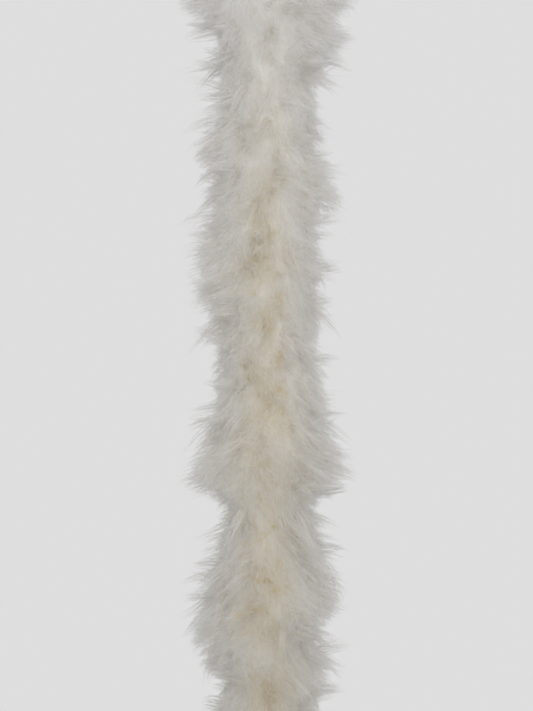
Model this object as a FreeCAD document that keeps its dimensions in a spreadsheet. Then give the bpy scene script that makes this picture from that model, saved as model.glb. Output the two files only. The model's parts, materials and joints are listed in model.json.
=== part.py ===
import FreeCAD, Part

import math
import os

import Sketcher

# Feather boa: 1.82 m of soft marabou plumes bound with thread to a thin cord of two twisted plies.
# It hangs from a small loop at its top end and finishes in a knot with two cut tails below it.
# The cord bends anywhere along its length. Here it is divided into equal links, and the link ends,
# where the down narrows, are the places where the model bends. The links are alike.
#
# Frame: +Z up, the boa hanging down along -Z. The origin is where a hook bears inside the top of
# the loop. All sizes are in millimetres.

SIZES = {
    # the chain of links
    "link_length": 130.0,
    "link_count": 14,
    "chain_top": 38.0,          # from the hook down to the start of the first link
    # the cord: two plies that turn round each other, with a hair's clearance between them
    "ply_radius": 0.75,
    "ply_orbit": 0.85,
    "ply_pitch": 13.0,
    "cord_end_gap": 1.2,        # bare clearance at each end of a link, so the links can bend
    # the thread wound round the cord, which holds the feet of the plumes
    "thread_radius": 0.2,
    "thread_orbit": 1.9,
    "thread_pitch": 7.2,
    "thread_end_gap": 1.8,
    # the quills: the stiff shafts of the plumes, four-sided as a feather's shaft is, and tapered
    "quill_count": 20,
    "quill_spacing": 4.0,
    "quill_first": 8.0,
    "quill_foot_orbit": 2.15,
    "quill_foot_width": 0.7,
    "quill_tip_width": 0.2,
    "quill_length": 34.0,
    "quill_angle": 58.0,        # between the quill and the cord below its foot
    # the down: the mass of soft barbs round each link, as a barrel with open ends
    "down_radius": 56.0,
    "down_wall": 3.0,
    "down_mouth_radius": 12.0,
    "down_mouth_gap": 10.0,
    "down_shoulder_gap": 36.0,
    # the hanging loop and its whipping
    "loop_radius": 9.0,
    "loop_flare_radius": 20.0,
    "loop_leg_length": 9.0,
    "whipping_length": 8.0,
    "whipping_pitch": 0.46,
    # the end knot, three turns of one ply, and the tails that pass through it
    "knot_orbit": 2.6,
    "knot_pitch": 1.7,
    "knot_turns": 3.0,
    "knot_drop": 3.0,           # from the end of the last link down to the top turn
    "tail_length": 34.0,
    "tail_gap": 0.4,
}

doc = FreeCAD.newDocument("feather_boa")


def make_sheet():
    """Put every driving dimension in the spreadsheet, each in a cell with its own alias."""
    sheet = doc.addObject("Spreadsheet::Sheet", "Sizes")
    for row, (alias, value) in enumerate(SIZES.items(), start=1):
        sheet.set(f"A{row}", alias)
        sheet.set(f"B{row}", str(value))
        sheet.setAlias(f"B{row}", alias)
    doc.recompute()
    return sheet


sheet = make_sheet()


def size(alias):
    """A driving dimension as the sheet holds it, for counts and first guesses in sketches."""
    return float(sheet.get(alias))


def new_body(label):
    body = doc.addObject("PartDesign::Body", label)
    body.Label = label
    return body


def origin_feature(body, role):
    """One of the body's own origin planes or axes, found by its role, such as XY_Plane."""
    return next(feature for feature in body.Origin.OriginFeatures if feature.Role == role)


def new_sketch(body, name, plane):
    sketch = body.newObject("Sketcher::SketchObject", name)
    sketch.AttachmentSupport = [(origin_feature(body, plane), "")]
    sketch.MapMode = "FlatFace"
    return sketch


def bind_constraint(sketch, name, constraint, expression):
    """Add a dimension to the sketch and bind it to the sheet."""
    index = sketch.addConstraint(constraint)
    sketch.renameConstraint(index, name)
    sketch.setExpression(f"Constraints.{name}", expression)


def place_below(piece, drop):
    """Hang a piece with its own origin this far below the hook; drop is a sheet expression."""
    piece.setExpression("Placement.Base.z", f"-({drop})")


def link_top(number):
    """The sheet expression for the depth of the top of a link, counted from 1."""
    return f"Sizes.chain_top + {number - 1} * Sizes.link_length"


def strand_section(body, plane, radius, offset):
    """A hexagon beside the body's Z axis, the section of a ply or thread, corner to centre = radius.
    In XY_Plane it lies flat, in XZ_Plane it stands up."""
    sketch = new_sketch(body, f"{body.Label}_section", plane)
    sides = 6
    guess_radius, guess_offset = 0.5, 2.0
    normal = FreeCAD.Vector(0, 0, 1)
    centre_point = FreeCAD.Vector(guess_offset, 0, 0)
    turns = [2 * math.pi * side / sides for side in range(sides)]
    corners = [centre_point + FreeCAD.Vector(math.cos(turn), math.sin(turn), 0) * guess_radius
               for turn in turns]
    for corner, following in zip(corners, corners[1:] + corners[:1]):
        sketch.addGeometry(Part.LineSegment(corner, following), False)
    ring = sketch.addGeometry(Part.Circle(centre_point, normal, guess_radius), True)
    start, end, centre, origin, x_axis = 1, 2, 3, (-1, 1), -1
    for side in range(sides):
        sketch.addConstraint(Sketcher.Constraint("Coincident", side, end, (side + 1) % sides, start))
        sketch.addConstraint(Sketcher.Constraint("PointOnObject", side, start, ring))
    for side in range(1, sides):
        sketch.addConstraint(Sketcher.Constraint("Equal", 0, side))
    sketch.addConstraint(Sketcher.Constraint("PointOnObject", 0, start, x_axis))
    sketch.addConstraint(Sketcher.Constraint("PointOnObject", ring, centre, x_axis))
    radius_rule = Sketcher.Constraint("Radius", ring, guess_radius)
    offset_rule = Sketcher.Constraint("DistanceX", *origin, ring, centre, guess_offset)
    bind_constraint(sketch, "section_radius", radius_rule, radius)
    bind_constraint(sketch, "section_offset", offset_rule, offset)
    return sketch


def helix_sweep(body, section, pitch, height):
    """Sweep the section up the body's Z axis in a helix."""
    doc.recompute()
    sweep = body.newObject("PartDesign::AdditiveHelix", f"{body.Label}_sweep")
    sweep.Profile = section
    sweep.ReferenceAxis = (origin_feature(body, "Z_Axis"), [""])
    sweep.Mode = "pitch-height-angle"
    sweep.setExpression("Pitch", pitch)
    sweep.setExpression("Height", height)
    return sweep


def twisted_plies(label, length, drop):
    """Two plies turning round each other, as two separate solids; drop is their lower end."""
    body = new_body(label)
    section = strand_section(body, "XY_Plane", "Sizes.ply_radius", "Sizes.ply_orbit")
    first_ply = helix_sweep(body, section, "Sizes.ply_pitch", length)
    pair = body.newObject("PartDesign::PolarPattern", f"{label}_pair")
    pair.Originals = [first_ply]
    pair.Axis = (origin_feature(body, "Z_Axis"), [""])
    pair.Angle = 360
    pair.Occurrences = 2
    body.Tip = pair
    place_below(body, drop)
    return body


def wound_strand(label, radius, orbit, pitch, height, drop):
    """A strand wound round the cord, as one solid; drop is the depth of its lowest turn."""
    body = new_body(label)
    section = strand_section(body, "XZ_Plane", radius, orbit)
    helix_sweep(body, section, pitch, height)
    place_below(body, drop)
    return body


def make_quill(index):
    """One quill: a slim four-sided taper that leans out and down between two turns of the thread."""
    quill = doc.addObject("Part::Wedge", f"quill_{index + 1:02d}")
    for side in "XZ":
        quill.setExpression(f"{side}min", "-Sizes.quill_foot_width / 2")
        quill.setExpression(f"{side}max", "Sizes.quill_foot_width / 2")
        quill.setExpression(f"{side}2min", "-Sizes.quill_tip_width / 2")
        quill.setExpression(f"{side}2max", "Sizes.quill_tip_width / 2")
    quill.Ymin = 0
    quill.setExpression("Ymax", "Sizes.quill_length")
    depth = f"(Sizes.quill_first + {index} * Sizes.quill_spacing)"
    # The thread passes the +X side of the cord at its lower end and climbs anticlockwise, so half
    # a turn round from it at the foot's height is the middle of the gap between two turns.
    climb = f"(Sizes.link_length - Sizes.thread_end_gap - {depth})"
    turn = f"(360 deg * ({climb} / Sizes.thread_pitch + 0.5))"
    foot = (f"vector(Sizes.quill_foot_orbit * cos({turn}); "
            f"Sizes.quill_foot_orbit * sin({turn}); -{depth})")
    # The wedge grows along its own Y: a quarter turn back about Z points that out along +X, and
    # the roll then tips it down.
    lean = f"rotation({turn} - 90 deg; 0; Sizes.quill_angle * 1 deg - 90 deg)"
    quill.setExpression("Placement", f"placement({foot}; {lean})")
    return quill


def make_quill_bunch():
    """All the quills of one link, below the link's top at their own heights."""
    bunch = doc.addObject("Part::Compound", "quill_bunch")
    bunch.Links = [make_quill(index) for index in range(int(size("quill_count")))]
    return bunch


def down_outline(sketch):
    """The barrel's wall to the right of the cord: an outer and an inner edge, joined at the mouths."""
    length, wall = size("link_length"), size("down_wall")
    mouth, mouth_gap = size("down_mouth_radius"), size("down_mouth_gap")
    radius, shoulder_gap = size("down_radius"), size("down_shoulder_gap")
    outer = [(mouth, -mouth_gap), (radius, -shoulder_gap),
             (radius, shoulder_gap - length), (mouth, mouth_gap - length)]
    inner = [(mouth, mouth_gap + wall - length), (radius - wall, shoulder_gap + wall - length),
             (radius - wall, -shoulder_gap - wall), (mouth, -mouth_gap - wall)]
    corners = [FreeCAD.Vector(x, z, 0) for x, z in outer + inner]
    edges = list(zip(corners, corners[1:] + corners[:1]))
    sketch.addGeometry([Part.LineSegment(start, end) for start, end in edges], False)
    for edge in range(len(edges)):
        sketch.addConstraint(Sketcher.Constraint("Coincident", edge, 2, (edge + 1) % len(edges), 1))


def make_down(label):
    """The down of one link, a revolved barrel that narrows at both ends to clear its neighbours."""
    body = new_body(label)
    sketch = new_sketch(body, f"{label}_wall", "XZ_Plane")
    down_outline(sketch)
    top_cone, side, low_cone, low_mouth, low_inside, inside, top_inside, top_mouth = range(8)
    origin = (-1, 1)
    for upright in (side, inside, low_mouth, top_mouth):
        sketch.addConstraint(Sketcher.Constraint("Vertical", upright))
    for inner, outer in ((top_inside, top_cone), (low_inside, low_cone)):
        sketch.addConstraint(Sketcher.Constraint("Parallel", inner, outer))
    length, wall = size("link_length"), size("down_wall")
    mouth, mouth_gap = size("down_mouth_radius"), size("down_mouth_gap")
    radius, shoulder = size("down_radius"), size("down_shoulder_gap")
    low_shoulder = "Sizes.link_length - Sizes.down_shoulder_gap"
    low_gap = "Sizes.link_length - Sizes.down_mouth_gap"
    dimensions = [
        ("mouth", "DistanceX", (*origin, top_cone, 1), mouth, "Sizes.down_mouth_radius"),
        ("radius", "DistanceX", (*origin, side, 1), radius, "Sizes.down_radius"),
        ("low_mouth", "DistanceX", (*origin, low_cone, 2), mouth, "Sizes.down_mouth_radius"),
        ("top_gap", "DistanceY", (top_cone, 1, *origin), mouth_gap, "Sizes.down_mouth_gap"),
        ("top_shoulder", "DistanceY", (side, 1, *origin), shoulder, "Sizes.down_shoulder_gap"),
        ("low_shoulder", "DistanceY", (side, 2, *origin), length - shoulder, low_shoulder),
        ("low_gap", "DistanceY", (low_cone, 2, *origin), length - mouth_gap, low_gap),
        ("wall", "DistanceX", (inside, 2, side, 1), wall, "Sizes.down_wall"),
        ("top_wall", "Distance", (top_mouth, 1, top_cone), wall, "Sizes.down_wall"),
        ("low_wall", "Distance", (low_mouth, 2, low_cone), wall, "Sizes.down_wall"),
    ]
    for name, kind, where, value, expression in dimensions:
        bind_constraint(sketch, name, Sketcher.Constraint(kind, *where, value), expression)
    doc.recompute()
    barrel = body.newObject("PartDesign::Revolution", f"{label}_barrel")
    barrel.Profile = sketch
    barrel.ReferenceAxis = (origin_feature(body, "Z_Axis"), [""])
    barrel.Angle = 360
    return body


def loop_height():
    """From the feet of the loop's legs to the middle of the strand at its top."""
    flare = size("loop_flare_radius")
    both = flare + size("loop_radius")
    across = flare + size("ply_orbit")
    return size("loop_leg_length") + math.sqrt(both ** 2 - across ** 2) + size("loop_radius")


def loop_path(body):
    """A teardrop: a straight leg, an arc that flares out, the round top, and the same back down."""
    leg, orbit = size("loop_leg_length"), size("ply_orbit")
    flare, radius = size("loop_flare_radius"), size("loop_radius")
    top_centre = FreeCAD.Vector(0, loop_height() - radius, 0)
    flare_centres = {side: FreeCAD.Vector(side * (orbit + flare), leg, 0) for side in (1, -1)}
    lean = math.atan2(top_centre.y - leg, orbit + flare)
    normal = FreeCAD.Vector(0, 0, 1)

    def arc(centre, arc_radius, start, end):
        return Part.ArcOfCircle(Part.Circle(centre, normal, arc_radius), start, end)

    sketch = new_sketch(body, "hang_loop_path", "XZ_Plane")
    right_foot, right_bend = FreeCAD.Vector(orbit, 0, 0), FreeCAD.Vector(orbit, leg, 0)
    left_foot, left_bend = FreeCAD.Vector(-orbit, 0, 0), FreeCAD.Vector(-orbit, leg, 0)
    sketch.addGeometry([
        Part.LineSegment(right_foot, right_bend),
        arc(flare_centres[1], flare, math.pi - lean, math.pi),
        arc(top_centre, radius, -lean, math.pi + lean),
        arc(flare_centres[-1], flare, 0, lean),
        Part.LineSegment(left_bend, left_foot),
    ], False)
    right_leg, right_flare, top, left_flare, left_leg = range(5)
    start, end, centre, origin = 1, 2, 3, (-1, 1)
    x_axis, z_axis = -1, -2
    sketch.addConstraint([
        Sketcher.Constraint("Tangent", right_leg, end, right_flare, end),
        Sketcher.Constraint("Tangent", right_flare, start, top, start),
        Sketcher.Constraint("Tangent", top, end, left_flare, end),
        Sketcher.Constraint("Tangent", left_flare, start, left_leg, start),
        Sketcher.Constraint("Vertical", right_leg),
        Sketcher.Constraint("Vertical", left_leg),
        Sketcher.Constraint("PointOnObject", right_leg, start, x_axis),
        Sketcher.Constraint("PointOnObject", left_leg, end, x_axis),
        Sketcher.Constraint("PointOnObject", top, centre, z_axis),
        Sketcher.Constraint("Equal", right_flare, left_flare),
    ])
    dimensions = [
        ("leg_offset", "DistanceX", (*origin, right_leg, start), orbit, "Sizes.ply_orbit"),
        ("left_offset", "DistanceX", (left_leg, end, *origin), orbit, "Sizes.ply_orbit"),
        ("leg_length", "DistanceY", (*origin, right_leg, end), leg, "Sizes.loop_leg_length"),
        ("top_radius", "Radius", (top,), radius, "Sizes.loop_radius"),
        ("flare_radius", "Radius", (right_flare,), flare, "Sizes.loop_flare_radius"),
    ]
    for name, kind, where, value, expression in dimensions:
        bind_constraint(sketch, name, Sketcher.Constraint(kind, *where, value), expression)
    return sketch


def hang_loop():
    """The loop: one strand of the cord's own ply, bent over and brought back beside itself."""
    body = new_body("hang_loop")
    path = loop_path(body)
    section = strand_section(body, "XY_Plane", "Sizes.ply_radius", "Sizes.ply_orbit")
    doc.recompute()
    strand = body.newObject("PartDesign::AdditivePipe", "hang_loop_strand")
    strand.Profile = section
    strand.Spine = (path, [])
    loop_drop = loop_height() - size("ply_radius")
    body.Placement = FreeCAD.Placement(FreeCAD.Vector(0, 0, -loop_drop), FreeCAD.Rotation())
    return body, loop_drop


def make_one_link():
    """The four kinds of piece in a link, each built once, with the link's top at height 0."""
    length = "Sizes.link_length"
    cord_gap, thread_gap = "Sizes.cord_end_gap", "Sizes.thread_end_gap"
    return {
        "core_cord": twisted_plies("cord_of_a_link", f"{length} - 2 * {cord_gap}",
                                   f"{length} - {cord_gap}"),
        "binding_thread": wound_strand("thread_of_a_link", "Sizes.thread_radius",
                                       "Sizes.thread_orbit", "Sizes.thread_pitch",
                                       f"{length} - 2 * {thread_gap}", f"{length} - {thread_gap}"),
        "plume_quills": make_quill_bunch(),
        "plume_down": make_down("down_of_a_link"),
    }


def make_links(one_link):
    """Every link's own cord, thread, quills and down: the one link's pieces, repeated down the boa."""
    pieces = []
    for number in range(1, int(size("link_count")) + 1):
        for kind, pattern in one_link.items():
            label = f"{kind}_{number:02d}"
            piece = doc.addObject("Part::Compound", label)
            piece.Label = label
            piece.Links = [pattern]
            place_below(piece, link_top(number))
            pieces.append(piece)
    return pieces


def make_ends():
    """The loop and whipping at the top, the knot and tails at the bottom."""
    loop, loop_drop = hang_loop()
    whipping = wound_strand("loop_whipping", "Sizes.thread_radius", "Sizes.thread_orbit",
                            "Sizes.whipping_pitch", "Sizes.whipping_length", str(loop_drop))
    chain_end = link_top(int(size("link_count")) + 1)
    knot_height = "Sizes.knot_pitch * Sizes.knot_turns"
    knot = wound_strand("end_knot", "Sizes.ply_radius", "Sizes.knot_orbit", "Sizes.knot_pitch",
                        knot_height, f"{chain_end} + Sizes.knot_drop + {knot_height}")
    tails = twisted_plies("cord_tails", "Sizes.tail_length",
                          f"{chain_end} + Sizes.tail_gap + Sizes.tail_length")
    return [loop, whipping, knot, tails]


def check_document(pieces):
    """Stop if any object failed to compute or any piece has no sound solid."""
    for item in doc.Objects:
        if "Invalid" in item.State or "Error" in item.State:
            raise RuntimeError(f"{item.Label} did not compute: {item.State}")
    for piece in pieces:
        shape = piece.Shape
        if shape.isNull() or not shape.isValid() or not shape.Solids:
            raise RuntimeError(f"{piece.Label} has no valid solid")


pieces = make_links(make_one_link()) + make_ends()
doc.recompute()
check_document(pieces)
os.makedirs("parts", exist_ok=True)
for piece in pieces:
    piece.Shape.exportStep(os.path.join("parts", f"{piece.Label}.step"))
print(f"{len(pieces)} pieces, {sum(len(piece.Shape.Solids) for piece in pieces)} solids, "
      f"{sum(piece.Shape.Volume for piece in pieces) / 1e6:.3f} litres")
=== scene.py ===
import json
import math

import bpy
import numpy as np
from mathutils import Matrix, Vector

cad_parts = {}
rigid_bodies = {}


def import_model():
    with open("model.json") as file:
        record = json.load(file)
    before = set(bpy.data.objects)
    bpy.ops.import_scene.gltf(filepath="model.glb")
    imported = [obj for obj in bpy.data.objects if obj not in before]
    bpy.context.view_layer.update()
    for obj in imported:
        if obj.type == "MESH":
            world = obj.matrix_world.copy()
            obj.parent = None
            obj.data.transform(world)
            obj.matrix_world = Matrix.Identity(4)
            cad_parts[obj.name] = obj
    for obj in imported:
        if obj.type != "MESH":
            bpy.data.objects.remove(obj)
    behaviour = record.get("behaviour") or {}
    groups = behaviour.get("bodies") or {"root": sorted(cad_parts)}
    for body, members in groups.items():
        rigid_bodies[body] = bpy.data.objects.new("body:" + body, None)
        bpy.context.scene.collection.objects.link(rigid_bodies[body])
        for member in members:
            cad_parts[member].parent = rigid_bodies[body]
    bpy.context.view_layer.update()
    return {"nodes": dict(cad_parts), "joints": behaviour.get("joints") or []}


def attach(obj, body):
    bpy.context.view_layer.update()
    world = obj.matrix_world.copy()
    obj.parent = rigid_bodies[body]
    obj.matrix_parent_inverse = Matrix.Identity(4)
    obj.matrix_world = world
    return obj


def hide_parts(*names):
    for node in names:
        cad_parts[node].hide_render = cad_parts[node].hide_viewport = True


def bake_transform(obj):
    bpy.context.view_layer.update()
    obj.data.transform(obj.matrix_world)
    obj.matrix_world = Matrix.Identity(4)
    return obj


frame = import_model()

# A white marabou boa hanging straight down from a small loop of its own cord. Everything is in
# metres in the CAD frame: the hook bears at the origin and the boa hangs along -Z. The camera
# looks along +Y at a stretch near the middle of its length.

SEED = 20261116

# ---------------------------------------------------------------------------------------------
# Where things are: read from the frame's joints, which sit at the ends of the links
# ---------------------------------------------------------------------------------------------
HINGES = [joint["pos_m"][2] for joint in frame["joints"]]
LINK = HINGES[0] - HINGES[1]
CHAIN_TOP = HINGES[0] + LINK
CHAIN_BOTTOM = HINGES[-1] - LINK
BODIES = [frame["joints"][0]["parent"]] + [joint["child"] for joint in frame["joints"]]
LINK_COUNT = len(BODIES)
MIDDLES = [CHAIN_TOP - (number + 0.5) * LINK for number in range(LINK_COUNT)]
SEGMENT_COUNT = LINK_COUNT + 1

# The stretch that the main view shows
VIEW_MIDDLE = CHAIN_TOP - 7.0 * LINK
VIEW_HEIGHT = 0.526
VIEW_TOP = VIEW_MIDDLE + 0.5 * VIEW_HEIGHT
VIEW_BOTTOM = VIEW_MIDDLE - 0.5 * VIEW_HEIGHT
VIEW_MARGIN = 0.03
CAMERA_DISTANCE = 2.6

# ---------------------------------------------------------------------------------------------
# Sizes of the boa's own parts
# ---------------------------------------------------------------------------------------------
# The cord's two plies, and the thread that binds the plumes to it
PLY = {"radius": 0.00075, "orbit": 0.00085, "pitch": 0.013, "phases": (0.0, math.pi),
       "rings_per_turn": 16, "sides": 8}
THREAD = {"radius": 0.0002, "orbit": 0.0019, "pitch": 0.0072, "phases": (0.0,),
          "rings_per_turn": 20, "sides": 5}

# The shafts of the plumes. Length is a share of the reach, and droop, bow and flattening are shares
# of the length; pairs are ranges.
GOLDEN_TURN = math.radians(137.508)
SHAFT = {"spacing": 0.002, "place_spread": 0.5, "foot": 0.0022, "radius": 0.00045, "taper": 0.75,
         "rings": 9, "sides": 6, "turn_spread": 0.4, "bow": 0.25, "flattening": 0.12,
         "droop": (0.05, 0.55), "droop_power": 1.5, "length": (0.5, 0.72)}

# How far the down reaches from the cord. A plain stretch reaches this far ...
PLAIN_REACH = 0.038
# ... and fuller tufts stand out from it, like skirts that widen slowly downwards and end sharply:
# depth below the top of the view, side (-1 is towards -X, +1 towards +X), extra reach, and how far
# up the tuft goes. Where the extra reach is negative, the boa has a waist.
TUFTS = [
    (0.006, -1, 0.031, 0.040),
    (0.002, 1, 0.016, 0.020),
    (0.030, 1, 0.025, 0.050),
    (0.122, -1, 0.019, 0.018),
    (0.152, 1, 0.016, 0.026),
    (0.216, -1, 0.018, 0.050),
    (0.212, 1, 0.005, 0.026),
    (0.350, 1, 0.021, 0.052),
    (0.358, -1, 0.025, 0.034),
    (0.452, 1, 0.019, 0.040),
    (0.478, -1, 0.019, 0.046),
    (0.510, 1, 0.013, 0.020),
    (0.392, -1, -0.012, 0.020),
    (0.510, -1, -0.011, 0.016),
]
TUFT_END_SHARE = 0.35
# The tufts of the rest of the boa: their spacing, and the ranges of their extra reach and height
OTHER_TUFTS = {"spacing": (0.033, 0.077), "extra": (-0.008, 0.017), "height": (0.014, 0.034)}
# The down rounds off over this length at either end of the boa, and the share keeps it from closing.
END_ROUNDING = 0.035
END_SHARE = 0.02
NARROWEST = 0.01
REACH_LIMIT = 0.0675

# The underdown: the soft mass in which single barbs can't be told apart, as shares of the reach
UNDERDOWN = {"share": 0.76, "tuft_share": 0.55, "step": 0.002, "sides": 96,
             "crease": math.radians(60)}
RUFFLE = {"waves": 24, "height": 0.05, "turns": 9, "rate": 160}

# A barb's radius, and how it changes from foot to tip as shares of that. The tone is each barb's own
# shade: its mean and spread.
BARB = {"radius": 0.00013, "foot": 0.75, "fluff": 0.5, "fluff_rate": 1.1, "thinning": 0.45,
        "spread": (0.75, 1.25), "tone": (0.6, 0.25)}
# Most barbs lie in locks that come out of the underdown and hang down along it. Each lock is raised
# by one of three lifts, and its barbs differ a little in length, slant and place ...
LOCK = {"per_metre": 7500, "barbs": 8, "rings": 3, "thickness": 1.0, "length": (0.010, 0.024),
        "slant": 0.45, "curve": 0.35, "lifts": (0.0, 0.35, 0.9), "lift_odds": (0.6, 0.3, 0.1),
        "tips": (0.84, 0.98), "root_depth": 0.04, "lift_gain": 0.2, "lift_shortening": 0.5,
        "emerging": 1.8, "lift_emerging": 0.7, "barb_length": (0.7, 1.0), "barb_slant": 0.06,
        "turn_spread": 0.085, "height_spread": 0.003, "swell": (0.15, 0.8), "turn_fullness": 0.02,
        "height_fullness": 0.0006, "tip_spread": 0.02}
# ... and the tips of the plumes stand out as leaf-shaped wisps that rise, arch over and part into
# fine points. They grow longer from the bottom of the view to its top.
WISP = {"per_plume": 2, "places": (0.45, 0.95), "place_spread": 0.1, "fingers": 3, "barbs": 8,
        "rings": 4, "thickness": 1.5, "reach": (1.15, 1.85), "towards_top": (0.95, 1.12),
        "length": (0.008, 0.060), "outward": 0.9, "along_shaft": 0.4, "rise": (0.30, 0.35),
        "lean": 0.5, "droop": (0.10, 0.50), "bend_spread": 0.15, "finger_length": (0.65, 1.0),
        "barb_length": (0.8, 1.0), "parting": 0.0026, "parting_power": 0.7, "swell": (0.15, 0.74),
        "fullness": 0.0022, "tip_colour": 0.55}
# A wisp's length is found by rescaling it a few times, within these limits each time.
LENGTH_ROUNDS = 5
LENGTH_CHANGE = (0.6, 1.6)


def all_tufts(random):
    """The tufts of the view, and others of the same kind along the rest of the boa."""
    tufts = [(VIEW_TOP - depth, side, extra, height) for depth, side, extra, height in TUFTS]
    z = CHAIN_TOP
    side = 1
    while z > CHAIN_BOTTOM:
        if not VIEW_BOTTOM - VIEW_MARGIN < z < VIEW_TOP + VIEW_MARGIN:
            extra = random.uniform(*OTHER_TUFTS["extra"])
            height = random.uniform(*OTHER_TUFTS["height"])
            tufts.append((z, side, extra, height))
        side = -side
        z -= random.uniform(*OTHER_TUFTS["spacing"])
    return tufts


ALL_TUFTS = all_tufts(np.random.default_rng(SEED))


def reach(z, azimuth, tuft_share=1.0):
    """How far the down reaches at a height and azimuth (0 is +X); it rounds off at the boa's ends."""
    total = np.full(np.shape(z), PLAIN_REACH)
    for centre, side, extra, height in ALL_TUFTS:
        facing = 0.5 + 0.5 * side * np.cos(azimuth)
        above = z - centre
        width = np.where(above > 0, height, height * TUFT_END_SHARE)
        total = total + tuft_share * extra * facing * np.exp(-(above / width) ** 2)
    from_end = np.minimum(CHAIN_TOP - z, z - CHAIN_BOTTOM)
    return total * np.sqrt(np.clip(from_end / END_ROUNDING, END_SHARE, 1.0))


def ruffles(z, azimuth):
    """A gentle unevenness of the down's surface, as a share of the reach: waves of many slants."""
    random = np.random.default_rng(SEED)
    count = RUFFLE["waves"]
    turns = random.integers(1, RUFFLE["turns"], count)
    rates = random.uniform(-RUFFLE["rate"], RUFFLE["rate"], count)
    starts = random.uniform(0, 2 * math.pi, count)
    waves = [np.sin(turn * azimuth + rate * z + start) for turn, rate, start in zip(turns, rates, starts)]
    return RUFFLE["height"] * sum(waves) / math.sqrt(0.5 * count)


# ---------------------------------------------------------------------------------------------
# Mesh building
# ---------------------------------------------------------------------------------------------
DOWNWARDS = np.array([0.0, 0.0, -1.0])
SMALLEST_LENGTH = 1e-12


def unit(vectors):
    return vectors / np.maximum(np.linalg.norm(vectors, axis=-1, keepdims=True), SMALLEST_LENGTH)


def around_cord(radius, azimuth, z):
    """Points at so far from the cord; any of the three may be one number for all of them."""
    x = radius * np.cos(azimuth)
    y = radius * np.sin(azimuth)
    return np.stack(np.broadcast_arrays(x, y, z), axis=-1)


def outwards(azimuth):
    return around_cord(1.0, azimuth, 0.0)


def crosswise(out):
    """The level direction at a right angle to each outward one."""
    return np.stack([-out[..., 1], out[..., 0], np.zeros(out.shape[:-1])], axis=-1)


def swell(t, start, gain):
    """How far a bunch of barbs opens along its length: full in the middle, and closing at its ends."""
    return np.sin(np.pi * (start + gain * t))


def tube_faces(body, sides):
    """The triangles of one tube of so many rings that ends in a sharp tip, with a flat cap at its foot."""
    faces = []
    for ring in range(body - 1):
        for side in range(sides):
            a = ring * sides + side
            b = ring * sides + (side + 1) % sides
            faces.append([a, b, b + sides])
            faces.append([a, b + sides, a + sides])
    last = (body - 1) * sides
    tip = body * sides
    for side in range(sides):
        faces.append([last + side, last + (side + 1) % sides, tip])
    for side in range(1, sides - 1):
        faces.append([0, side + 1, side])
    return np.array(faces)


def tapered_tubes(name, paths, radii, along, tone, sides=3):
    """One mesh of many closed tubes. paths is (tubes, rings, 3), radii is (tubes, rings - 1), and the
    last point of each path is a sharp tip. along and tone become attributes for the materials."""
    tubes, rings = paths.shape[:2]
    body = rings - 1
    tangents = unit(np.gradient(paths, axis=1))
    helper = unit(np.random.default_rng(SEED).normal(size=(tubes, 1, 3)))
    across = unit(np.cross(tangents, helper))
    other = np.cross(tangents, across)
    turn = np.arange(sides) * (2 * math.pi / sides)
    circle_a = np.cos(turn)[None, None, :, None]
    circle_b = np.sin(turn)[None, None, :, None]
    ring_points = (paths[:, :body, None, :] + radii[:, :, None, None]
                   * (across[:, :body, None, :] * circle_a + other[:, :body, None, :] * circle_b))
    points = np.concatenate([ring_points.reshape(tubes, body * sides, 3), paths[:, -1:, :]], axis=1)
    per_tube = body * sides + 1
    offsets = (np.arange(tubes) * per_tube)[:, None, None]
    faces = (tube_faces(body, sides)[None] + offsets).reshape(-1, 3)

    mesh = bpy.data.meshes.new(name)
    mesh.vertices.add(tubes * per_tube)
    mesh.vertices.foreach_set("co", points.astype(np.float32).ravel())
    mesh.loops.add(faces.size)
    mesh.loops.foreach_set("vertex_index", faces.astype(np.int32).ravel())
    mesh.polygons.add(len(faces))
    mesh.polygons.foreach_set("loop_start", np.arange(0, faces.size, 3, dtype=np.int32))
    mesh.update(calc_edges=True)
    mesh.polygons.foreach_set("use_smooth", np.full(len(faces), sides > 3))

    ring_along = np.repeat(along[:, :body], sides, axis=1)
    along_values = np.concatenate([ring_along, along[:, -1:]], axis=1)
    tone_values = np.repeat(tone[:, None], per_tube, axis=1)
    for attribute_name, values in (("along", along_values), ("tone", tone_values)):
        attribute = mesh.attributes.new(attribute_name, "FLOAT", "POINT")
        attribute.data.foreach_set("value", values.astype(np.float32).ravel())
    return add_piece(name, mesh)


def add_piece(name, data):
    piece = bpy.data.objects.new(name, data)
    bpy.context.scene.collection.objects.link(piece)
    return piece


# ---------------------------------------------------------------------------------------------
# Cord and thread
# ---------------------------------------------------------------------------------------------
def strand_piece(name, strand, top, bottom, material):
    """Strands winding down round the cord's middle line; their sharp tips end inside the next piece."""
    ring_step = strand["pitch"] / strand["rings_per_turn"]
    rings = int((top - bottom) / ring_step) + 2
    z = np.linspace(top, bottom - ring_step, rings)
    turn = (CHAIN_TOP - z) / strand["pitch"] * 2 * math.pi
    paths = np.stack([around_cord(strand["orbit"], turn + phase, z) for phase in strand["phases"]])
    count = len(strand["phases"])
    radii = np.full((count, rings - 1), strand["radius"])
    along = np.tile(np.linspace(0, 1, rings), (count, 1))
    piece = tapered_tubes(name, paths, radii, along, np.zeros(count), strand["sides"])
    piece.data.materials.append(material)
    return piece


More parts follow.
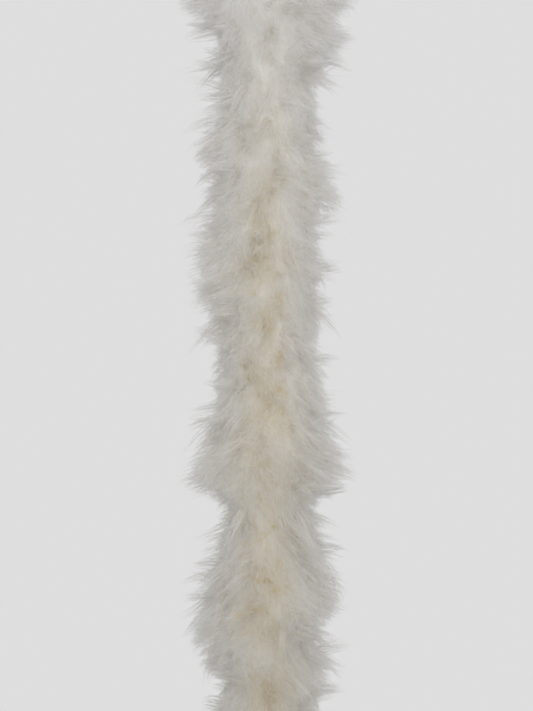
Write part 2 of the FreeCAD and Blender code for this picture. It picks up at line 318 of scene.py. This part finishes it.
# ---------------------------------------------------------------------------------------------
# Shafts of the plumes
# ---------------------------------------------------------------------------------------------
def make_shafts(top, bottom, random):
    """The curved shafts of the plumes whose feet lie between two heights, and which way they point."""
    spacing = SHAFT["spacing"]
    number = np.arange(math.ceil((CHAIN_TOP - top) / spacing), math.ceil((CHAIN_TOP - bottom) / spacing))
    count = len(number)
    z = CHAIN_TOP - number * spacing + random.normal(0, SHAFT["place_spread"] * spacing, count)
    azimuth = number * GOLDEN_TURN + random.normal(0, SHAFT["turn_spread"], count)
    out = outwards(azimuth)
    bow = crosswise(out) * random.normal(0, SHAFT["bow"], (count, 1))
    droop = DOWNWARDS * random.uniform(*SHAFT["droop"], (count, 1))
    length = reach(z, azimuth) * random.uniform(*SHAFT["length"], count)
    foot = around_cord(SHAFT["foot"], azimuth, z)
    t = np.linspace(0, 1, SHAFT["rings"])[None, :, None]
    outward = out[:, None, :] * (t - SHAFT["flattening"] * t ** 2)
    curve = outward + bow[:, None, :] * t ** 2 + droop[:, None, :] * t ** SHAFT["droop_power"]
    return foot[:, None, :] + length[:, None, None] * curve, out


def quills_piece(name, shafts, random):
    count = len(shafts)
    t = np.tile(np.linspace(0, 1, SHAFT["rings"]), (count, 1))
    radii = SHAFT["radius"] * (1 - SHAFT["taper"] * t[:, :-1])
    piece = tapered_tubes(name, shafts, radii, t, random.uniform(0, 1, count), SHAFT["sides"])
    piece.data.materials.append(QUILL)
    return piece


# ---------------------------------------------------------------------------------------------
# Down: a soft body, locks of barbs lying along it, and wisps standing out of it
# ---------------------------------------------------------------------------------------------
def underdown_piece(name, top, bottom):
    """The closed soft body of the down between two heights, its surface following the tufts."""
    sides = UNDERDOWN["sides"]
    rings = int(round((top - bottom) / UNDERDOWN["step"])) + 1
    z = np.linspace(top, bottom, rings)[:, None]
    azimuth = np.linspace(0, 2 * math.pi, sides, endpoint=False)[None, :]
    z, azimuth = np.broadcast_arrays(z, azimuth)
    radius = UNDERDOWN["share"] * reach(z, azimuth, UNDERDOWN["tuft_share"]) * (1 + ruffles(z, azimuth))
    wall = around_cord(radius, azimuth, z).reshape(-1, 3)
    caps = np.array([[0, 0, top], [0, 0, bottom]])
    top_middle, bottom_middle = len(wall), len(wall) + 1
    last = (rings - 1) * sides
    faces = []
    for side in range(sides):
        following = (side + 1) % sides
        faces.append((top_middle, side, following))
        faces.append((bottom_middle, last + following, last + side))
        for ring in range(rings - 1):
            a = ring * sides + side
            b = ring * sides + following
            faces.append((a, a + sides, b + sides, b))
    mesh = bpy.data.meshes.new(name)
    mesh.from_pydata(np.concatenate([wall, caps]).tolist(), [], faces)
    mesh.shade_smooth()
    mesh.set_sharp_from_angle(angle=UNDERDOWN["crease"])
    mesh.materials.append(UNDERDOWN_MATERIAL)
    return add_piece(name, mesh)


def lock_paths(top, bottom, random):
    """Barbs in locks that come out of the underdown, then lie down along it and end near the reach.
    Each is drawn in its turn round the cord, its distance from the cord and its height."""
    count = int((top - bottom) * LOCK["per_metre"])
    lock = np.repeat(np.arange(count), LOCK["barbs"])
    barbs = (len(lock), 1)

    def each(values):
        return values[lock][:, None]

    even = (np.arange(count) + 0.5) / count
    z = each(bottom + (top - bottom) * even) + random.normal(0, LOCK["height_spread"], barbs)
    azimuth = each(np.arange(count) * GOLDEN_TURN) + random.normal(0, LOCK["turn_spread"], barbs)
    length = each(random.uniform(*LOCK["length"], count)) * random.uniform(*LOCK["barb_length"], barbs)
    slant = each(random.normal(0, LOCK["slant"], count)) + random.normal(0, LOCK["barb_slant"], barbs)
    lift = each(random.choice(LOCK["lifts"], count, p=LOCK["lift_odds"]))
    curve = each(random.normal(0, LOCK["curve"], count))
    t = np.linspace(0, 1, LOCK["rings"] + 1)[None, :]

    heading = slant + curve * t
    fullness = swell(t, *LOCK["swell"])
    height = z - length * np.cos(heading) * (1 - LOCK["lift_shortening"] * lift) * t
    height = height + fullness * random.normal(0, LOCK["height_fullness"], barbs)
    turn = azimuth + length * np.sin(heading) * t / np.maximum(reach(z, azimuth), NARROWEST)
    turn = turn + fullness * random.normal(0, LOCK["turn_fullness"], barbs)

    root = (UNDERDOWN["share"] - LOCK["root_depth"]) * reach(z, azimuth, UNDERDOWN["tuft_share"])
    tip_share = each(random.uniform(*LOCK["tips"], count)) + LOCK["lift_gain"] * lift
    tip_share = tip_share * random.normal(1.0, LOCK["tip_spread"], barbs)
    tip = tip_share * reach(height[:, -1:], turn[:, -1:])
    emerging = LOCK["emerging"] - LOCK["lift_emerging"] * lift
    radius = root + (tip - root) * (1 - (1 - t) ** emerging)
    radius = np.minimum(radius * (1 + ruffles(height, turn)), REACH_LIMIT)
    return around_cord(radius, turn, height), np.broadcast_to(t, radius.shape)


def wisp_guides(shafts, out, random):
    """The middle line of each wisp: where it starts on its shaft, its heading and its bend, scaled so
    that its tip comes out at its share of the reach. Also how far up its shaft it starts."""
    count = len(shafts)
    total = count * WISP["per_plume"]
    plume = np.repeat(np.arange(count), WISP["per_plume"])
    first, last = WISP["places"]
    even = np.tile((np.arange(WISP["per_plume"]) + 0.5) / WISP["per_plume"], count)
    even = even + random.normal(0, WISP["place_spread"], total)
    place = first + (last - first) * np.clip(even, 0.0, 1.0)
    ring = np.floor(place * (SHAFT["rings"] - 1)).astype(int)
    share = (place * (SHAFT["rings"] - 1) - ring)[:, None]
    start = shafts[plume, ring] * (1 - share) + shafts[plume, ring + 1] * share
    along_shaft = unit(shafts[plume, ring + 1] - shafts[plume, ring])
    lean = random.normal(0, WISP["lean"], (total, 1)) * crosswise(out[plume])
    rise = random.normal(*WISP["rise"], (total, 1)) * DOWNWARDS
    heading = unit(WISP["outward"] * out[plume] + WISP["along_shaft"] * along_shaft + lean - rise)
    bend = random.uniform(*WISP["droop"], (total, 1)) * DOWNWARDS
    bend = bend + random.normal(0, WISP["bend_spread"], (total, 3))

    wanted = random.uniform(*WISP["reach"], total)
    wanted = wanted * np.interp(start[:, 2], (VIEW_BOTTOM, VIEW_TOP), WISP["towards_top"])
    length = np.full(total, np.mean(WISP["length"]))
    for _ in range(LENGTH_ROUNDS):
        tip = start + length[:, None] * (heading + bend)
        far = np.hypot(tip[:, 0], tip[:, 1])
        target = np.minimum(wanted * reach(tip[:, 2], np.arctan2(tip[:, 1], tip[:, 0])), REACH_LIMIT)
        length = length * np.clip(target / np.maximum(far, NARROWEST), *LENGTH_CHANGE)
        length = np.clip(length, *WISP["length"])
    return start, length[:, None] * heading, length[:, None] * bend, place


def wisp_paths(shafts, out, random):
    """Barbs bunched in fingers along each wisp: full in the middle, and parting towards the tip."""
    start, heading, bend, place = wisp_guides(shafts, out, random)
    finger_count = len(start) * WISP["fingers"]
    wisp = np.repeat(np.arange(len(start)), WISP["fingers"] * WISP["barbs"])
    finger = np.repeat(np.arange(finger_count), WISP["barbs"])
    barbs = len(finger)
    share = random.uniform(*WISP["finger_length"], finger_count)[finger]
    share = share * random.uniform(*WISP["barb_length"], barbs)
    even = np.linspace(0, 1, WISP["rings"] + 1)[None, :, None]
    t = even * share[:, None, None]
    guide = start[wisp][:, None, :] + heading[wisp][:, None, :] * t + bend[wisp][:, None, :] * t ** 2
    parted = random.normal(0, WISP["parting"], (finger_count, 1, 3))[finger]
    fullness = random.normal(0, WISP["fullness"], (barbs, 1, 3))
    path = guide + parted * t ** WISP["parting_power"] + fullness * swell(even, *WISP["swell"])
    radius = np.hypot(path[..., 0], path[..., 1])
    path[..., :2] *= np.minimum(1.0, REACH_LIMIT / np.maximum(radius, NARROWEST))[..., None]
    along = WISP["tip_colour"] * t[..., 0] + (1 - WISP["tip_colour"]) * place[wisp][:, None]
    return path, along


def barb_radii(barbs, rings, random):
    """Thin at the foot, a little thicker with fluff, and fine towards the tip."""
    t = np.linspace(0, 1, rings + 1)[None, :rings]
    fluff = BARB["fluff"] * np.sin(np.pi * np.minimum(t * BARB["fluff_rate"], 1.0))
    profile = BARB["foot"] + fluff - BARB["thinning"] * t
    return BARB["radius"] * profile * random.uniform(*BARB["spread"], (barbs, 1))


def barbs_piece(name, paths, along, thickness, random):
    count, rings = paths.shape[:2]
    tone = np.clip(random.normal(*BARB["tone"], count), 0, 1)
    piece = tapered_tubes(name, paths, thickness * barb_radii(count, rings - 1, random), along, tone)
    piece.data.materials.append(DOWN_MATERIAL)
    return piece


# ---------------------------------------------------------------------------------------------
# Materials
# ---------------------------------------------------------------------------------------------
# Colours as they are in linear light. A list runs along a strand, from its foot at 0 to its tip at 1.
PLAIN_BARB = [(0.0, (0.955, 0.94, 0.92)), (0.4, (0.965, 0.96, 0.952)), (1.0, (0.962, 0.96, 0.957))]
CREAMY_BARB = [(0.0, (0.957, 0.91, 0.80)), (0.5, (0.963, 0.938, 0.88)), (1.0, (0.962, 0.947, 0.912))]
BARB_TONES = [(0.0, (0.982, 0.982, 0.982)), (1.0, (1.0, 1.0, 1.0))]
SHAFT_GLIMPSE = (0.86, 0.74, 0.40, 1.0)
PLAIN_UNDERDOWN = (0.85, 0.842, 0.83, 1.0)
CREAMY_UNDERDOWN = (0.845, 0.80, 0.69, 1.0)
HORN = [(0.0, (0.62, 0.44, 0.17)), (0.25, (0.80, 0.68, 0.42)), (1.0, (0.88, 0.85, 0.78))]
RAW_COTTON = [(0.0, (0.78, 0.74, 0.66)), (1.0, (0.80, 0.77, 0.70))]
WHITE_THREAD = [(0.0, (0.86, 0.85, 0.82)), (1.0, (0.86, 0.85, 0.82))]

# The creamy stripe: how sharply it fades round the boa and to what, and over what share of the view's
# height it grows from one strength to the other
STRIPE = {"sharpness": 6.0, "round_boa": (0.10, 1.0), "growing": 0.45, "strength": (0.05, 0.82)}
# Each noise has its scale and detail, the part of it that counts, and what that part becomes.
PATCHES = {"scale": 28.0, "detail": 3.0, "counts": (0.3, 0.7), "becomes": (0.45, 1.0)}
SPOTS = {"scale": 130.0, "detail": 1.0, "counts": (0.63, 0.71), "becomes": (0.0, 0.9)}
# Streaks are stretched along the boa. Their colours, and those of the fibres, go with the noise.
STREAKS = {"scale": 900.0, "detail": 3.0, "squeeze": (1.0, 1.0, 0.12),
           "colours": [(0.3, (0.95, 0.95, 0.94)), (0.7, (1.0, 1.0, 1.0))]}
FIBRES = {"scale": 2600.0, "detail": 4.0, "bump": 0.5, "height": 0.0001,
          "colours": [(0.3, (0.82, 0.80, 0.76)), (0.7, (1.0, 1.0, 1.0))]}
TRANSLUCENT_SHARE = 0.55


def new_material(name):
    material = bpy.data.materials.new(name)
    material.use_nodes = True
    tree = material.node_tree
    tree.nodes.clear()
    return material, tree


def node(tree, kind, **settings):
    made = tree.nodes.new(kind)
    for key, value in settings.items():
        if key in made.inputs:
            made.inputs[key].default_value = value
        else:
            setattr(made, key, value)
    return made


def connect(tree, value, socket):
    """Link an output to a socket, or give the socket a plain value."""
    if isinstance(value, bpy.types.NodeSocket):
        tree.links.new(value, socket)
    else:
        socket.default_value = value


def maths(tree, operation, first, second):
    made = node(tree, "ShaderNodeMath", operation=operation)
    connect(tree, first, made.inputs[0])
    connect(tree, second, made.inputs[1])
    return made.outputs["Value"]


def rescaled(tree, value, old_range, new_range):
    """Carry a value over from one range to another, held within the new one."""
    made = node(tree, "ShaderNodeMapRange")
    names = ("From Min", "From Max", "To Min", "To Max")
    for name, limit in zip(names, (*old_range, *new_range)):
        made.inputs[name].default_value = limit
    tree.links.new(value, made.inputs["Value"])
    return made.outputs["Result"]


def noise(tree, place, scale, detail):
    made = node(tree, "ShaderNodeTexNoise", Scale=scale, Detail=detail)
    tree.links.new(place, made.inputs["Vector"])
    return made.outputs["Fac"]


def blotches(tree, place, kind):
    """Soft spots or patches of noise over the boa."""
    return rescaled(tree, noise(tree, place, kind["scale"], kind["detail"]), kind["counts"], kind["becomes"])


def ramp(tree, factor, stops):
    made = tree.nodes.new("ShaderNodeValToRGB")
    elements = made.color_ramp.elements
    while len(elements) > 1:
        elements.remove(elements[-1])
    elements[0].position = stops[0][0]
    elements[0].color = (*stops[0][1], 1.0)
    for position, colour in stops[1:]:
        elements.new(position).color = (*colour, 1.0)
    tree.links.new(factor, made.inputs["Fac"])
    return made.outputs["Color"]


def mix_colours(tree, blend, factor, first, second):
    made = node(tree, "ShaderNodeMix", data_type="RGBA", blend_type=blend)
    connect(tree, factor, made.inputs["Factor"])
    connect(tree, first, made.inputs["A"])
    connect(tree, second, made.inputs["B"])
    return made.outputs["Result"]


def place_on_boa(tree):
    return node(tree, "ShaderNodeTexCoord").outputs["Object"]


def along_strand(tree, name="along"):
    return node(tree, "ShaderNodeAttribute", attribute_name=name).outputs["Fac"]


def finish_material(tree, shader):
    output = node(tree, "ShaderNodeOutputMaterial")
    tree.links.new(shader, output.inputs["Surface"])


def stripe(tree, place):
    """Where one looks straight in towards the cord from the front or the back, and further down the
    boa than the top of the view. From 0 to 1."""
    flat = node(tree, "ShaderNodeVectorMath", operation="MULTIPLY")
    flat.inputs[1].default_value = (1.0, 1.0, 0.0)
    tree.links.new(place, flat.inputs[0])
    level = node(tree, "ShaderNodeVectorMath", operation="NORMALIZE")
    tree.links.new(flat.outputs["Vector"], level.inputs[0])
    out = node(tree, "ShaderNodeSeparateXYZ")
    tree.links.new(level.outputs["Vector"], out.inputs["Vector"])
    straight_in = maths(tree, "POWER", out.outputs["Y"], STRIPE["sharpness"])
    facing = rescaled(tree, straight_in, (0.0, 1.0), STRIPE["round_boa"])
    parts = node(tree, "ShaderNodeSeparateXYZ")
    tree.links.new(place, parts.inputs["Vector"])
    growing = (VIEW_TOP, VIEW_TOP - STRIPE["growing"] * VIEW_HEIGHT)
    lower = rescaled(tree, parts.outputs["Z"], growing, STRIPE["strength"])
    return maths(tree, "MULTIPLY", facing, lower)


def warmth(tree, place):
    """How creamy the down is: along the stripe, and more in soft patches. From 0 to 1."""
    return maths(tree, "MULTIPLY", stripe(tree, place), blotches(tree, place, PATCHES))


def down_material():
    """Soft marabou barbs: cream close to the shaft, neutral white outside, each barb a little its own,
    with small glimpses of the horn-yellow shafts here and there."""
    material, tree = new_material("marabou_down")
    place = place_on_boa(tree)
    along = along_strand(tree)
    plain = ramp(tree, along, PLAIN_BARB)
    creamy = ramp(tree, along, CREAMY_BARB)
    colour = mix_colours(tree, "MIX", warmth(tree, place), plain, creamy)
    glimpse = maths(tree, "MULTIPLY", blotches(tree, place, SPOTS), stripe(tree, place))
    colour = mix_colours(tree, "MIX", glimpse, colour, SHAFT_GLIMPSE)
    tone = ramp(tree, along_strand(tree, "tone"), BARB_TONES)
    colour = mix_colours(tree, "MULTIPLY", 1.0, colour, tone)

    surface = node(tree, "ShaderNodeBsdfPrincipled", Roughness=0.85)
    surface.inputs["Specular IOR Level"].default_value = 0.1
    through = node(tree, "ShaderNodeBsdfTranslucent")
    tree.links.new(colour, surface.inputs["Base Color"])
    tree.links.new(colour, through.inputs["Color"])
    mixed = node(tree, "ShaderNodeMixShader")
    mixed.inputs["Fac"].default_value = TRANSLUCENT_SHARE
    tree.links.new(surface.outputs["BSDF"], mixed.inputs[1])
    tree.links.new(through.outputs["BSDF"], mixed.inputs[2])
    finish_material(tree, mixed.outputs["Shader"])
    return material


def underdown_material():
    """The soft mass under the barbs: fine pale streaks that run down it, and creamy patches."""
    material, tree = new_material("marabou_underdown")
    place = place_on_boa(tree)
    stretched = node(tree, "ShaderNodeMapping")
    stretched.inputs["Scale"].default_value = STREAKS["squeeze"]
    tree.links.new(place, stretched.inputs["Vector"])
    streaks = noise(tree, stretched.outputs["Vector"], STREAKS["scale"], STREAKS["detail"])
    fine = ramp(tree, streaks, STREAKS["colours"])
    tinted = mix_colours(tree, "MIX", warmth(tree, place), PLAIN_UNDERDOWN, CREAMY_UNDERDOWN)
    surface = node(tree, "ShaderNodeBsdfPrincipled", Roughness=0.95)
    surface.inputs["Specular IOR Level"].default_value = 0.05
    tree.links.new(mix_colours(tree, "MULTIPLY", 1.0, tinted, fine), surface.inputs["Base Color"])
    finish_material(tree, surface.outputs["BSDF"])
    return material


def strand_material(name, stops, roughness):
    """A strand's colour along its length, with the fine flecks and bumps of its fibres."""
    material, tree = new_material(name)
    fibres = noise(tree, place_on_boa(tree), FIBRES["scale"], FIBRES["detail"])
    fleck = ramp(tree, fibres, FIBRES["colours"])
    colour = mix_colours(tree, "MULTIPLY", 1.0, ramp(tree, along_strand(tree), stops), fleck)
    bump = node(tree, "ShaderNodeBump", Strength=FIBRES["bump"], Distance=FIBRES["height"])
    tree.links.new(fibres, bump.inputs["Height"])
    surface = node(tree, "ShaderNodeBsdfPrincipled", Roughness=roughness)
    tree.links.new(colour, surface.inputs["Base Color"])
    tree.links.new(bump.outputs["Normal"], surface.inputs["Normal"])
    finish_material(tree, surface.outputs["BSDF"])
    return material


DOWN_MATERIAL = down_material()
UNDERDOWN_MATERIAL = underdown_material()
QUILL = strand_material("quill_horn", HORN, roughness=0.45)
COTTON = strand_material("cord_cotton", RAW_COTTON, roughness=0.9)
SEWING_THREAD = strand_material("thread_white", WHITE_THREAD, roughness=0.6)


# ---------------------------------------------------------------------------------------------
# Building the boa in segments that run from the middle of one link to the middle of the next
# ---------------------------------------------------------------------------------------------
def bend_segment(piece, index):
    """Ride the first or last segment on its link; any other, which joins the middles of two links, only has
    its transform applied.
    """
    if index == 0:
        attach(piece, BODIES[0])
    elif index == LINK_COUNT:
        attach(piece, BODIES[-1])
    else:
        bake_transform(piece)


def segment_span(index):
    top = CHAIN_TOP if index == 0 else MIDDLES[index - 1]
    bottom = CHAIN_BOTTOM if index == LINK_COUNT else MIDDLES[index]
    return top, bottom


def build_segment(index):
    random = np.random.default_rng(SEED + index)
    top, bottom = segment_span(index)
    link = f"{min(index + 1, LINK_COUNT):02d}"
    shafts, out = make_shafts(top, bottom, random)
    locks, locks_along = lock_paths(top, bottom, random)
    wisps, wisps_along = wisp_paths(shafts, out, random)
    pieces = [
        (strand_piece(f"cord_{index:02d}", PLY, top, bottom, COTTON), "cord", "core_cord_"),
        (strand_piece(f"thread_{index:02d}", THREAD, top, bottom, SEWING_THREAD),
         "thread", "binding_thread_"),
        (quills_piece(f"quills_{index:02d}", shafts, random), "quill", "plume_quills_"),
        (underdown_piece(f"underdown_{index:02d}", top, bottom), "down", "plume_down_"),
        (barbs_piece(f"down_{index:02d}", locks, locks_along, LOCK["thickness"], random),
         "down", "plume_down_"),
        (barbs_piece(f"wisps_{index:02d}", wisps, wisps_along, WISP["thickness"], random),
         "down", "plume_down_"),
    ]
    for piece, slot, replaced in pieces:
        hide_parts(replaced + link)
        bend_segment(piece, index)


def in_view(index):
    top, bottom = segment_span(index)
    return bottom < VIEW_TOP + VIEW_MARGIN and top > VIEW_BOTTOM - VIEW_MARGIN


def dress_ends():
    """The loop, its whipping, the knot and the tails keep the shapes of the frame's own nodes."""
    for name, material in (("hang_loop", COTTON), ("cord_tails", COTTON), ("end_knot", COTTON),
                           ("loop_whipping", SEWING_THREAD)):
        frame["nodes"][name].data.materials.clear()
        frame["nodes"][name].data.materials.append(material)


for index in range(SEGMENT_COUNT):
    if in_view(index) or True:
        build_segment(index)
dress_ends()


# ---------------------------------------------------------------------------------------------
# Floor, light and camera
# ---------------------------------------------------------------------------------------------
BACKGROUND = 0.730
# The soft light from the camera's side and from behind the boa, and how far from level with the boa
# (as the Y of its direction) each is at its full strength
LIGHT_IN_FRONT = 0.615
LIGHT_BEHIND = 0.495
LIGHT_TURN = 0.4
KEY = {"place": (0.05, -0.65, VIEW_TOP + 0.12), "target": (0, 0, VIEW_TOP - 0.1),
       "size": (0.6, 0.4), "power": 1.4}
FLOOR = {"radius": 7.0, "sides": 96, "below": 0.12, "tone": 0.86}
# Light goes through many pale barbs before it dies out, and the photo is a little soft.
LIGHT_BOUNCES = 32
PIXEL_SOFTNESS = 2.0


def make_world():
    """An even pale grey behind everything, and soft light that comes mostly from the camera's side."""
    world = bpy.data.worlds.new("studio")
    world.use_nodes = True
    tree = world.node_tree
    tree.nodes.clear()
    parts = node(tree, "ShaderNodeSeparateXYZ")
    tree.links.new(node(tree, "ShaderNodeTexCoord").outputs["Generated"], parts.inputs["Vector"])
    level = rescaled(tree, parts.outputs["Y"], (LIGHT_TURN, -LIGHT_TURN), (LIGHT_BEHIND, LIGHT_IN_FRONT))
    lit = node(tree, "ShaderNodeBackground", Color=(1.0, 1.0, 1.0, 1.0))
    tree.links.new(level, lit.inputs["Strength"])
    seen = node(tree, "ShaderNodeBackground", Color=(BACKGROUND, BACKGROUND, BACKGROUND, 1.0))
    rays = node(tree, "ShaderNodeLightPath")
    mix = node(tree, "ShaderNodeMixShader")
    tree.links.new(rays.outputs["Is Camera Ray"], mix.inputs["Fac"])
    tree.links.new(lit.outputs["Background"], mix.inputs[1])
    tree.links.new(seen.outputs["Background"], mix.inputs[2])
    output = node(tree, "ShaderNodeOutputWorld")
    tree.links.new(mix.outputs["Shader"], output.inputs["Surface"])
    bpy.context.scene.world = world


def make_floor():
    turns = np.linspace(0, 2 * math.pi, FLOOR["sides"], endpoint=False)
    rim = around_cord(FLOOR["radius"], turns, CHAIN_BOTTOM - FLOOR["below"])
    mesh = bpy.data.meshes.new("floor")
    mesh.from_pydata(rim.tolist(), [], [tuple(range(FLOOR["sides"]))])
    material, tree = new_material("pale_floor")
    tone = FLOOR["tone"]
    surface = node(tree, "ShaderNodeBsdfPrincipled", Roughness=0.9)
    surface.inputs["Base Color"].default_value = (tone, tone, tone, 1.0)
    finish_material(tree, surface.outputs["BSDF"])
    mesh.materials.append(material)
    add_piece("floor", mesh)


def aim(thing, place, target):
    thing.location = place
    heading = Vector(target) - Vector(place)
    thing.rotation_euler = heading.to_track_quat("-Z", "Y").to_euler()


def make_key_light():
    data = bpy.data.lights.new("key", "AREA")
    data.shape = "RECTANGLE"
    data.size, data.size_y = KEY["size"]
    data.energy = KEY["power"]
    light = add_piece("key", data)
    aim(light, KEY["place"], KEY["target"])


def make_camera():
    data = bpy.data.cameras.new("camera")
    data.sensor_fit = "VERTICAL"
    data.angle_y = 2 * math.atan(0.5 * VIEW_HEIGHT / CAMERA_DISTANCE)
    camera = add_piece("camera", data)
    aim(camera, (0, -CAMERA_DISTANCE, VIEW_MIDDLE), (0, 0, VIEW_MIDDLE))
    bpy.context.scene.camera = camera


def make_settings():
    scene = bpy.context.scene
    scene.view_settings.view_transform = "Standard"
    scene.cycles.max_bounces = LIGHT_BOUNCES
    scene.cycles.diffuse_bounces = LIGHT_BOUNCES
    scene.cycles.transmission_bounces = LIGHT_BOUNCES
    scene.cycles.filter_width = PIXEL_SOFTNESS


make_world()
make_floor()
make_key_light()
make_camera()
make_settings()
